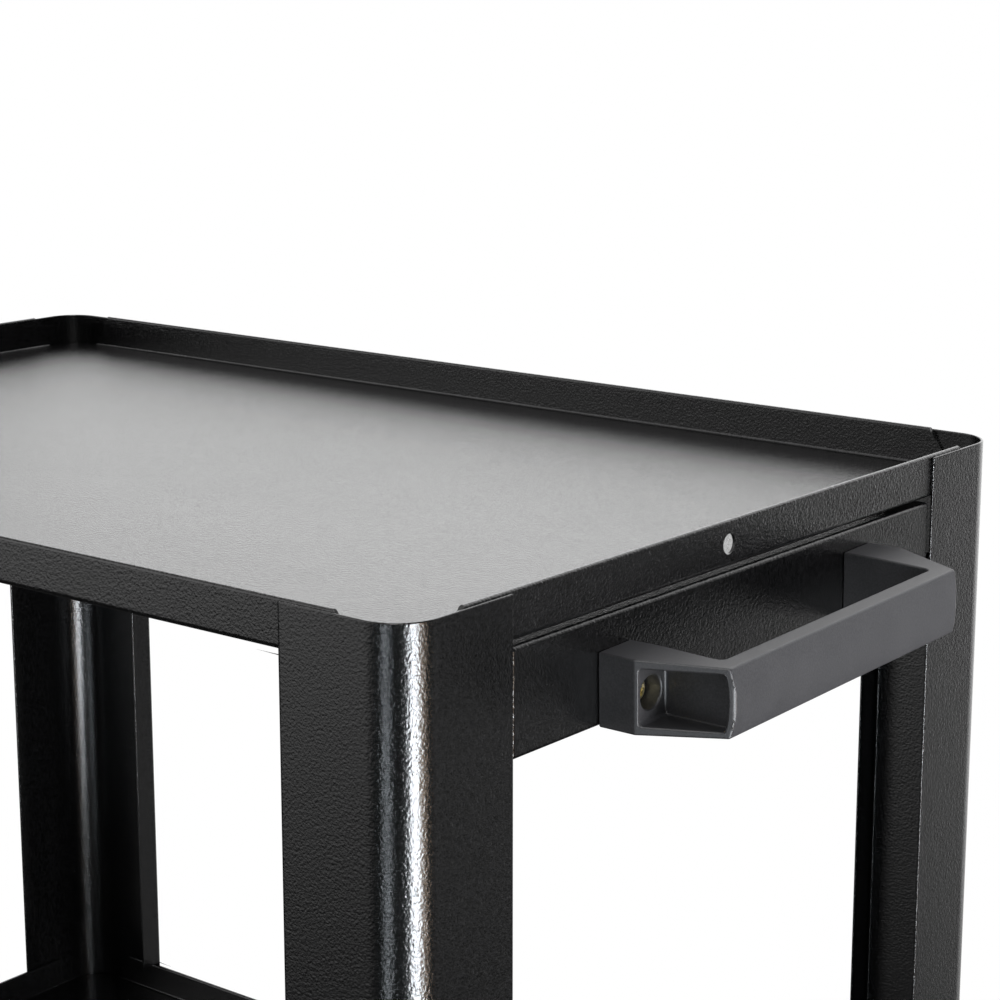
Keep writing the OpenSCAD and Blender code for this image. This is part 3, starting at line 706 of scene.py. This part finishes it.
def start_tree(name, sockets):
    """A geometry tree with a mesh going in and out, and named inputs for its sizes."""
    tree = bpy.data.node_groups.new(name, "GeometryNodeTree")
    tree.interface.new_socket("Geometry", in_out="INPUT", socket_type="NodeSocketGeometry")
    for label, kind in sockets:
        tree.interface.new_socket(label, in_out="INPUT", socket_type=kind)
    tree.interface.new_socket("Result", in_out="OUTPUT", socket_type="NodeSocketGeometry")
    entry = tree.nodes.new("NodeGroupInput")
    return tree, {s.name: Wire(tree, s) for s in entry.outputs if s.name}


def end_tree(instances, finish):
    real = instances.node("GeometryNodeRealizeInstances", {"Geometry": instances})
    painted = real.node("GeometryNodeSetMaterial", {"Geometry": real, "Material": finish})
    painted.node("NodeGroupOutput", {0: painted})


bolt_grid, entry = start_tree("bolt_grid", [
    ("Unit", "NodeSocketObject"), ("Pitch along", "NodeSocketFloat"), ("Pitch across", "NodeSocketFloat"),
    ("Finish", "NodeSocketMaterial")])
grid = entry["Geometry"].node("GeometryNodeMeshGrid", {
    "Size X": entry["Pitch along"], "Size Y": entry["Pitch across"], "Vertices X": 2, "Vertices Y": 2})
spread = grid.node("GeometryNodeInstanceOnPoints", {"Points": entry["Geometry"], "Instance": grid})
seats = spread.node("GeometryNodeRealizeInstances", {"Geometry": spread})
unit = seats.node("GeometryNodeObjectInfo", {"Object": entry["Unit"]}, out="Geometry")
end_tree(unit.node("GeometryNodeInstanceOnPoints", {"Points": seats, "Instance": unit}), entry["Finish"])

ball_ring, entry = start_tree("ball_ring", [
    ("Balls", "NodeSocketInt"), ("Ring radius", "NodeSocketFloat"), ("Ball radius", "NodeSocketFloat"),
    ("Finish", "NodeSocketMaterial")])
circle = entry["Geometry"].node("GeometryNodeMeshCircle", {
    "Vertices": entry["Balls"], "Radius": entry["Ring radius"]})
spread = circle.node("GeometryNodeInstanceOnPoints", {"Points": entry["Geometry"], "Instance": circle})
seats = spread.node("GeometryNodeRealizeInstances", {"Geometry": spread})
ball = seats.node("GeometryNodeMeshIcoSphere", {"Radius": entry["Ball radius"], "Subdivisions": 3})
end_tree(ball.node("GeometryNodeInstanceOnPoints", {"Points": seats, "Instance": ball}), entry["Finish"])


def set_out(name, tree, centres, values):
    """Runs a tree on bare points and keeps its result as a plain mesh."""
    mesh = bpy.data.meshes.new(name)
    mesh.from_pydata([tuple(c) for c in centres], [], [])
    piece = bpy.data.objects.new(name, mesh)
    bpy.context.scene.collection.objects.link(piece)
    pattern = piece.modifiers.new("pattern", "NODES")
    pattern.node_group = tree
    for label, value in values.items():
        pattern[socket_of(tree, label)] = value
    return bake(piece)


plate_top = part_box("swivel_plate_left")[1].z
plate_low = plate_top - plate_t
centres = [(caster_x[end], s * caster_y, 0) for end in ("rear", "front") for s in (-1, 1)]
pitches = {"Pitch along": bolt_pitch_x, "Pitch across": bolt_pitch_y, "Finish": bright_zinc}
shank_top = plate_top + rail_t + 2 * bolt_r
bolt = hexagon(bolt_head_w, bolt_head_h)
bolt.data.transform(Matrix.Translation((0, 0, plate_low)) @ Matrix.Diagonal((1, 1, -1, 1)))
bolt.data.flip_normals()
shank = turned("shank", [(0, plate_low - past), (bolt_r, plate_low - past), (bolt_r, plate_low)]
               + threaded(bolt_r, plate_top + rail_t, shank_top, m8_pitch) + [(0, shank_top)], steps=32)
combine(bolt, "UNION", [shank])
bolts = set_out("caster_bolt_set", bolt_grid, centres, {"Unit": bolt, **pitches})
bpy.data.objects.remove(bolt)
finish_piece(bolts, bright_zinc, "frame", ["caster_bolts"], bevel=0)
weld_nut = hexagon(bolt_head_w, weld_nut_h, bolt_r + bore_room)
weld_nut.data.transform(Matrix.Translation((0, 0, plate_top + rail_t)))
weld_nuts = set_out("weld_nut_set", bolt_grid, centres, {"Unit": weld_nut, **pitches})
bpy.data.objects.remove(weld_nut)
finish_piece(weld_nuts, bright_zinc, "frame", ["weld_nuts"], bevel=0)

# --------------------------------------------------------- swivel plates and races
# Zinc-plated pressings at the handle end. The race under each plate holds a ring of
# loose balls, and a kingpin, riveted over at the top and nutted below, keeps it closed.
plate_half_x = 33.5 * mm
plate_half_y = 47.5 * mm
plate_corner_r = 6 * mm
race_r = 19 * mm
ball_r = 3 * mm
ball_count = 17
ball_drop = 4.5 * mm
groove_gap = 0.3 * mm
race_depth = 3 * mm
race_wall = 2 * mm
kingpin_r = 5 * mm
kingpin_head_r = 10 * mm
kingpin_tip_r = 3.6 * mm
kingpin_head_h = 3 * mm
kingpin_nut_h = 8 * mm
kingpin_nut_w = 17 * mm
fork_zinc = plated_metal("fork_zinc", (0.44, 0.45, 0.47), (0.60, 0.61, 0.63), 0.24)


def on_caster(piece, end, side):
    """Puts a solid drawn round a caster's centre, outside towards -Y, on one of the four casters."""
    flip = -1 if side == "left" else 1
    place = Matrix.Translation((caster_x[end], flip * caster_y, 0)) @ Matrix.Diagonal((1, -flip, 1, 1))
    return moved_copy(piece, place)


def fit_both(unit, end, node, body, material, bevel=0.25 * mm):
    """Finishes one unit as the left and the right piece of an end."""
    for side in ("left", "right"):
        piece = on_caster(unit, end, side)
        piece.name = f"{node}_{side}_piece"
        finish_piece(piece, material, body.format(side=side), [f"{node}_{side}"], bevel)
    bpy.data.objects.remove(unit)


def caster_plate():
    """Plate with rounded corners and its four bolt holes."""
    outline = fillet([(i * plate_half_x, j * plate_half_y, plate_corner_r)
                      for i, j in ((1, 1), (-1, 1), (-1, -1), (1, -1))], steps=8)
    plate = loft("plate", [[(p.x, p.y, z) for p in outline] for z in (plate_low, plate_top)])
    return combine(plate, "DIFFERENCE", [
        rod((i * bolt_pitch_x / 2, j * bolt_pitch_y / 2, plate_low - past),
            (i * bolt_pitch_x / 2, j * bolt_pitch_y / 2, plate_top + past), bolt_hole_r)
        for i in (-1, 1) for j in (-1, 1)])


def groove(gap):
    """Ring-shaped cutter for the track that the balls run in."""
    track_r = ball_r + gap
    track = [(race_r + track_r * math.cos(a), plate_low - ball_drop + track_r * math.sin(a))
             for a in (2 * math.pi * k / 24 for k in range(24))]
    return turned("track", track, steps=72)


race_outer = race_r + ball_r + race_wall
plate = caster_plate()
combine(plate, "UNION", [turned("race", [
    (0, plate_low + plate_t / 2), (race_outer + 1 * mm, plate_low + plate_t / 2),
    (race_outer, plate_low - 0.6 * mm), (race_outer - 0.1 * mm, plate_low - race_depth + 0.6 * mm),
    (race_outer - 0.7 * mm, plate_low - race_depth), (0, plate_low - race_depth)], steps=72)])
combine(plate, "DIFFERENCE", [groove(groove_gap)])
combine(plate, "DIFFERENCE", [
    rod((0, 0, plate_low - 3 * race_depth), (0, 0, plate_top + past), kingpin_r + bore_room)])
fit_both(plate, "rear", "swivel_plate", "frame", fork_zinc)
for side, flip in (("left", -1), ("right", 1)):
    centre = (caster_x["rear"], flip * caster_y, plate_low - ball_drop)
    balls = set_out(f"race_ball_ring_{side}", ball_ring, [centre], {
        "Balls": ball_count, "Ring radius": race_r, "Ball radius": ball_r, "Finish": bright_zinc})
    finish_piece(balls, bright_zinc, f"swivel_{side}", [f"race_balls_{side}"], bevel=0)
crown_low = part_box("kingpin_nut_left")[1].z
pin_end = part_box("kingpin_left")[0].z
fit_both(turned("kingpin", [
    (0, plate_top + kingpin_head_h), (6 * mm, plate_top + kingpin_head_h),
    (9 * mm, plate_top + kingpin_head_h - 0.5 * mm), (kingpin_head_r, plate_top + 1.2 * mm),
    (kingpin_head_r, plate_top), (kingpin_r, plate_top)]
    + threaded(kingpin_r, crown_low, pin_end, 1.5 * mm) + [(kingpin_tip_r, pin_end), (0, pin_end)]),
    "rear", "kingpin", "frame", bright_zinc)
nut = hexagon(kingpin_nut_w, kingpin_nut_h, kingpin_r + bore_room, both=True)
nut.data.transform(Matrix.Translation((0, 0, crown_low - kingpin_nut_h)))
fit_both(nut, "rear", "kingpin_nut", "frame", bright_zinc)

# ---------------------------------------------------------------------------- forks
# Forks of 3 mm zinc-plated steel. The swivel forks trail behind their kingpins and have
# ears for the brake pedal's pin, and the rigid forks are welded under plates of their
# own. Every cut edge is rolled over by the press.
fork_edge = 0.6 * mm


def eased(node, material, body, width):
    """The node's own faces merged into clean flats, with its edges rounded over."""
    mesh = nodes[node].data.copy()
    merge_flats(mesh, 0.002 * mm, 1)
    mesh.materials.clear()
    piece = bpy.data.objects.new(node + "_piece", mesh)
    bpy.context.scene.collection.objects.link(piece)
    return finish_piece(piece, material, body, [node], width, 40, 3)


for side in ("left", "right"):
    eased(f"swivel_fork_{side}", fork_zinc, f"swivel_{side}", fork_edge)
    eased(f"rigid_fork_{side}", fork_zinc, "frame", fork_edge)

# -------------------------------------------------------------------- brake pedals
# Black moulded pedals that turn on a riveted pin between the fork's ears. The pad has
# ribs across it for the toe, and a cam below the hub bears on the tyre.
pedal_plastic = moulded_plastic(
    "pedal_plastic", (0.022, 0.022, 0.024), (0.034, 0.034, 0.036), 0.40, 0.03 * mm)
pedal_pin_r = 2.5 * mm
rivet_head_r = 4.5 * mm
rivet_head_h = 2 * mm
pedal_edge = 0.5 * mm
pedal_w = 34 * mm
pedal_lift = math.radians(12)
pad_top = 4.5 * mm
rib_count = 7
rib_start = 16 * mm
rib_pitch = 4 * mm
rib_r = 0.8 * mm
rib_half = pedal_w / 2 - 3 * mm
trail = 34 * mm
pedal_back = 36 * mm
pedal_rise = 46 * mm
fork_out = 22 * mm
wheel_r = 50 * mm
pin_x = -trail - pedal_back
pin_z = wheel_r + pedal_rise
for side in ("left", "right"):
    pedal = eased(f"brake_pedal_{side}", pedal_plastic, f"brake_{side}", pedal_edge)
    flip = -1 if side == "left" else 1
    ribs = []
    for k in range(rib_count):
        along = rib_start + k * rib_pitch
        x = pin_x - along * math.cos(pedal_lift) + pad_top * math.sin(pedal_lift)
        z = pin_z + along * math.sin(pedal_lift) + pad_top * math.cos(pedal_lift)
        ribs.append(rod((caster_x["rear"] + x, flip * caster_y - rib_half, z),
                        (caster_x["rear"] + x, flip * caster_y + rib_half, z), rib_r, steps=16))
    combine(pedal, "UNION", ribs)
rivet = [
    (0, fork_out + rivet_head_h), (2.6 * mm, fork_out + rivet_head_h), (4 * mm, fork_out + 1.4 * mm),
    (rivet_head_r, fork_out + 0.6 * mm), (rivet_head_r, fork_out), (pedal_pin_r, fork_out)]
pin = turned("pedal_pin", rivet + [(r, -z) for r, z in rivet[::-1]])
along_axle = Matrix.Rotation(math.pi / 2, 4, "X")
pin.data.transform(Matrix.Translation((pin_x, 0, pin_z)) @ along_axle)
fit_both(pin, "rear", "pedal_pin", "swivel_{side}", bright_zinc, bevel=0)

# --------------------------------------------------------------------------- wheels
# Grey-black rubber tyres with two fine grooves, moulded on to black eight-spoke cores.
# Each wheel runs on a steel bush round an M8 bolt with its head on the outer leg.
tyre_w = 30 * mm
rim_r = 39 * mm
shoulder_r = 5 * mm
groove_depth = 0.9 * mm
ridge_depth = 0.5 * mm
bush_r = 6 * mm
axle_r = 4 * mm
axle_head_w = 12.8 * mm
axle_head_h = 5.2 * mm
axle_nut_h = 8 * mm
axle_tip = 1 * mm
hub_r = 12 * mm
hub_half = 18 * mm
web_half = 2.5 * mm
spoke_count = 8
spoke_half = 11 * mm
fork_gap = 38 * mm
tyre_rubber, place = new_material("tyre_rubber")
dust = place.node("ShaderNodeTexNoise", {"Vector": place, "Scale": 70, "Detail": 6, "Roughness": 0.65})
grit = place.node("ShaderNodeTexNoise", {"Vector": place, "Scale": 1800, "Detail": 2})
worn = place.node("ShaderNodeMapRange", {"Value": dust, "From Min": 0.42, "From Max": 0.72})
close_material(place, {
    "Base Color": blend_colours(worn, (0.052, 0.052, 0.054), (0.085, 0.084, 0.083)),
    "Roughness": 0.62 + 0.2 * worn,
    "Normal": place.node("ShaderNodeBump", {
        "Strength": 0.7, "Distance": 0.05 * mm, "Height": grit + 0.6 * dust}),
})
wheel_plastic = moulded_plastic(
    "wheel_plastic", (0.018, 0.018, 0.020), (0.028, 0.028, 0.030), 0.38, 0.02 * mm)


def tyre_profile():
    """Rubber section: tread with two grooves, round shoulders and a moulded ridge on each wall."""
    half = []
    wall = tyre_w / 2
    for x, dip in ((0, 0), (3.2, 0), (3.6, groove_depth), (4.6, groove_depth), (5, 0)):
        half.append((wheel_r - dip, x * mm))
    for k in range(9):
        a = math.pi / 2 * k / 8
        half.append((wheel_r - shoulder_r * (1 - math.cos(a)), wall - shoulder_r * (1 - math.sin(a))))
    half += [(rim_r + 3.4 * mm, wall), (rim_r + 2.9 * mm, wall - ridge_depth),
             (rim_r + 2.1 * mm, wall - ridge_depth), (rim_r + 1.6 * mm, wall), (rim_r, wall)]
    return half + [(r, -x) for r, x in half[:0:-1]]


def wheel_core():
    """Rim, dished web, hub and spokes, with a bore for the bush."""
    rim_half = tyre_w / 2 - 0.5 * mm
    rim_in = rim_r - 5 * mm
    half = [(rim_r, rim_half), (rim_in + 0.6 * mm, rim_half), (rim_in, rim_half - 0.6 * mm),
            (rim_in - 0.4 * mm, web_half + 1 * mm), (rim_in - 1.4 * mm, web_half),
            (hub_r + 1.4 * mm, web_half), (hub_r + 0.4 * mm, web_half + 1 * mm),
            (hub_r, hub_half - 0.8 * mm), (hub_r - 0.8 * mm, hub_half), (bush_r + bore_room, hub_half)]
    core = turned("wheel_core", half + [(r, -x) for r, x in half[::-1]], steps=96)
    spokes = []
    for k in range(spoke_count):
        spin = Matrix.Rotation(2 * math.pi * k / spoke_count, 4, "Z")
        rings = []
        for z, w in ((-spoke_half, 1.2 * mm), (-web_half, 1.7 * mm),
                     (web_half, 1.7 * mm), (spoke_half, 1.2 * mm)):
            rings.append([spin @ Vector((x, y, z)) for x, y in (
                (hub_r - 1 * mm, -w), (rim_in + 1 * mm, -w), (rim_in + 1 * mm, w), (hub_r - 1 * mm, w))])
        spokes.append(loft("spoke", rings))
    return combine(core, "UNION", spokes)


for end, axle_x in (("rear", -trail), ("front", 0)):
    to_axle = Matrix.Translation((axle_x, 0, wheel_r)) @ along_axle
    carrier = "swivel_{side}" if end == "rear" else "frame"
    roller = f"{end}_roller_{{side}}"
    tyre = turned("tyre", tyre_profile(), steps=96)
    core = wheel_core()
    bush = turned("bush", [
        (axle_r + bore_room, -fork_gap / 2), (bush_r, -fork_gap / 2), (bush_r, fork_gap / 2),
        (axle_r + bore_room, fork_gap / 2)])
    axle = hexagon(axle_head_w, axle_head_h)
    axle.data.transform(Matrix.Translation((0, 0, fork_out)))
    axle_end = -fork_out - axle_nut_h - axle_tip
    combine(axle, "UNION", [turned("shank", [
        (0, fork_out + past), (axle_r, fork_out + past), (axle_r, -fork_out)]
        + threaded(axle_r, -fork_out, axle_end, m8_pitch) + [(0, axle_end)], steps=32)])
    nut = hexagon(axle_head_w, axle_nut_h, axle_r + bore_room, both=True)
    nut.data.transform(Matrix.Translation((0, 0, -fork_out - axle_nut_h)))
    for unit, node, body, material, slot, edge in (
            (tyre, "tyre", roller, tyre_rubber, "tyre_rubber", 0),
            (core, "wheel", roller, wheel_plastic, "wheel_plastic", 0.3 * mm),
            (bush, "bush", carrier, bright_zinc, "bright_zinc", 0.15 * mm),
            (axle, "axle", carrier, bright_zinc, "bright_zinc", 0),
            (nut, "axle_nut", carrier, bright_zinc, "bright_zinc", 0)):
        unit.data.transform(to_axle)
        fit_both(unit, end, f"{end}_{node}", body, material, bevel=edge)

# --------------------------------------------------------------- studio and camera
# A pale floor that fades into a white room, a bright backdrop behind the cart, soft light
# from above and tall soft boxes that draw the streaks down the round posts.
camera_from_corner = Vector((0.5223, -0.6068, 0.2221))
camera_azimuth = math.radians(38.476)
camera_pitch = math.radians(12.669)
focal_length = 91.51
sensor = 36
corner = Vector((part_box("post_rear_left")[1].x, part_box("post_rear_left")[0].y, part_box("top_tray")[1].z))
camera = bpy.data.objects.new("camera", bpy.data.cameras.new("camera"))
camera.data.sensor_width = sensor
camera.data.lens = focal_length
camera.location = corner + camera_from_corner
aim = Vector((-math.sin(camera_azimuth) * math.cos(camera_pitch),
              math.cos(camera_azimuth) * math.cos(camera_pitch), -math.sin(camera_pitch)))
camera.rotation_euler = aim.to_track_quat("-Z", "Y").to_euler()
bpy.context.scene.collection.objects.link(camera)
bpy.context.scene.camera = camera
bpy.context.scene.view_settings.view_transform = "Standard"

floor_radius = 1.4
fade_from = 0.6
floor_paint, place = new_material("studio_floor")
distance = place.node("ShaderNodeVectorMath", {0: place}, out="Value", operation="LENGTH")
fade = place.node("ShaderNodeMapRange", {
    "Value": distance, "From Min": fade_from, "From Max": floor_radius}, interpolation_type="SMOOTHSTEP")
matte = place.node("ShaderNodeBsdfDiffuse", {"Color": (0.80, 0.80, 0.80, 1)})
glow = place.node("ShaderNodeEmission", {"Color": (1, 1, 1, 1), "Strength": 1})
faded = place.node("ShaderNodeMixShader", {0: fade, 1: matte, 2: glow})
place.node("ShaderNodeOutputMaterial", {"Surface": faded})
ring = [(floor_radius * math.cos(a), floor_radius * math.sin(a))
        for a in (math.pi * k / 48 for k in range(96))]
studio_floor = loft("studio_floor", [[(x, y, z) for x, y in ring] for z in (-0.01, 0)])
studio_floor.data.materials.append(floor_paint)
studio_floor.visible_glossy = False

world = bpy.data.worlds.new("studio")
bpy.context.scene.world = world
world.use_nodes = True
world.node_tree.nodes.clear()
world.cycles.sampling_method = "NONE"
heading = Wire(world.node_tree, world.node_tree.nodes.new("ShaderNodeTexCoord").outputs["Generated"])
light_path = world.node_tree.nodes.new("ShaderNodeLightPath")
to_camera = Wire(world.node_tree, light_path.outputs["Is Camera Ray"])
to_diffuse = Wire(world.node_tree, light_path.outputs["Is Diffuse Ray"])


def glow_patch(azimuth, elevation, full, edge, strength):
    """Light from a round patch of the room: full within one angle, none beyond the other, in degrees."""
    a, e = math.radians(azimuth), math.radians(elevation)
    axis = (math.cos(a) * math.cos(e), math.sin(a) * math.cos(e), math.sin(e))
    along = heading.node("ShaderNodeVectorMath", {0: heading, 1: axis}, out="Value", operation="DOT_PRODUCT")
    return heading.node("ShaderNodeMapRange", {
        "Value": along, "From Min": math.cos(math.radians(edge)), "From Max": math.cos(math.radians(full)),
        "To Max": strength}, interpolation_type="SMOOTHSTEP")


# In turn: the bright wall that the tray floors mirror, the long side's, the right post's, the far
# post's flange's and the ceiling's
room = 0.03 + glow_patch(108, 25, 15, 60, 2.25)
room = room + glow_patch(228, 14, 12, 42, 1.75)
room = room + glow_patch(76, -15, 8, 17, 0.72)
room = room + glow_patch(40, -18, 5, 9, 0.8)
room = room + glow_patch(0, 90, 20, 60, 0.3)
room_fill = 0.24
strength = to_camera + (1 - to_camera) * (to_diffuse * room_fill + (1 - to_diffuse) * room)
backdrop = heading.node("ShaderNodeBackground", {"Color": (1, 1, 1, 1), "Strength": strength})
heading.node("ShaderNodeOutputWorld", {"Surface": backdrop})


def soft_box(name, target, azimuth, elevation, distance, width, height, power, colour=(1, 1, 1), diffuse=True,
             glossy=True):
    """A rectangular soft box that faces a point from an azimuth and an elevation in degrees."""
    a, e = math.radians(azimuth), math.radians(elevation)
    away = Vector((math.cos(a) * math.cos(e), math.sin(a) * math.cos(e), math.sin(e)))
    lamp = bpy.data.objects.new(name, bpy.data.lights.new(name, "AREA"))
    lamp.data.shape = "RECTANGLE"
    lamp.data.size = width
    lamp.data.size_y = height
    lamp.data.energy = power
    lamp.data.color = colour
    lamp.location = target + away * distance
    lamp.rotation_euler = (-away).to_track_quat("-Z", "Y").to_euler()
    lamp.visible_camera = False
    lamp.visible_diffuse = diffuse
    lamp.visible_glossy = glossy
    bpy.context.scene.collection.objects.link(lamp)


near_post = corner - Vector((0, 0, 0.12))
cart_middle = Vector((0, 0, 0.8))
top_shelf = Vector((0, 0, 0.9))
soft_box("streak_box", near_post, -15, -17, 1.2, 0.21, 0.55, 30, (0.90, 0.95, 1), diffuse=False)
soft_box("streak_fringe", near_post, 3, -17, 1.2, 0.14, 0.55, 2.4, (1, 0.72, 0.5), diffuse=False)
soft_box("front_strip", near_post, -78, -17, 1.3, 0.05, 0.55, 3.2, (0.85, 0.93, 1), diffuse=False)
soft_box("rim_box", near_post, -58, 52, 1.5, 0.5, 0.5, 16, diffuse=False)
soft_box("end_fill", cart_middle, 12, 8, 2.0, 1.0, 1.0, 34, glossy=False)
soft_box("top_box", top_shelf, 200, 70, 2.2, 1.6, 1.6, 6)
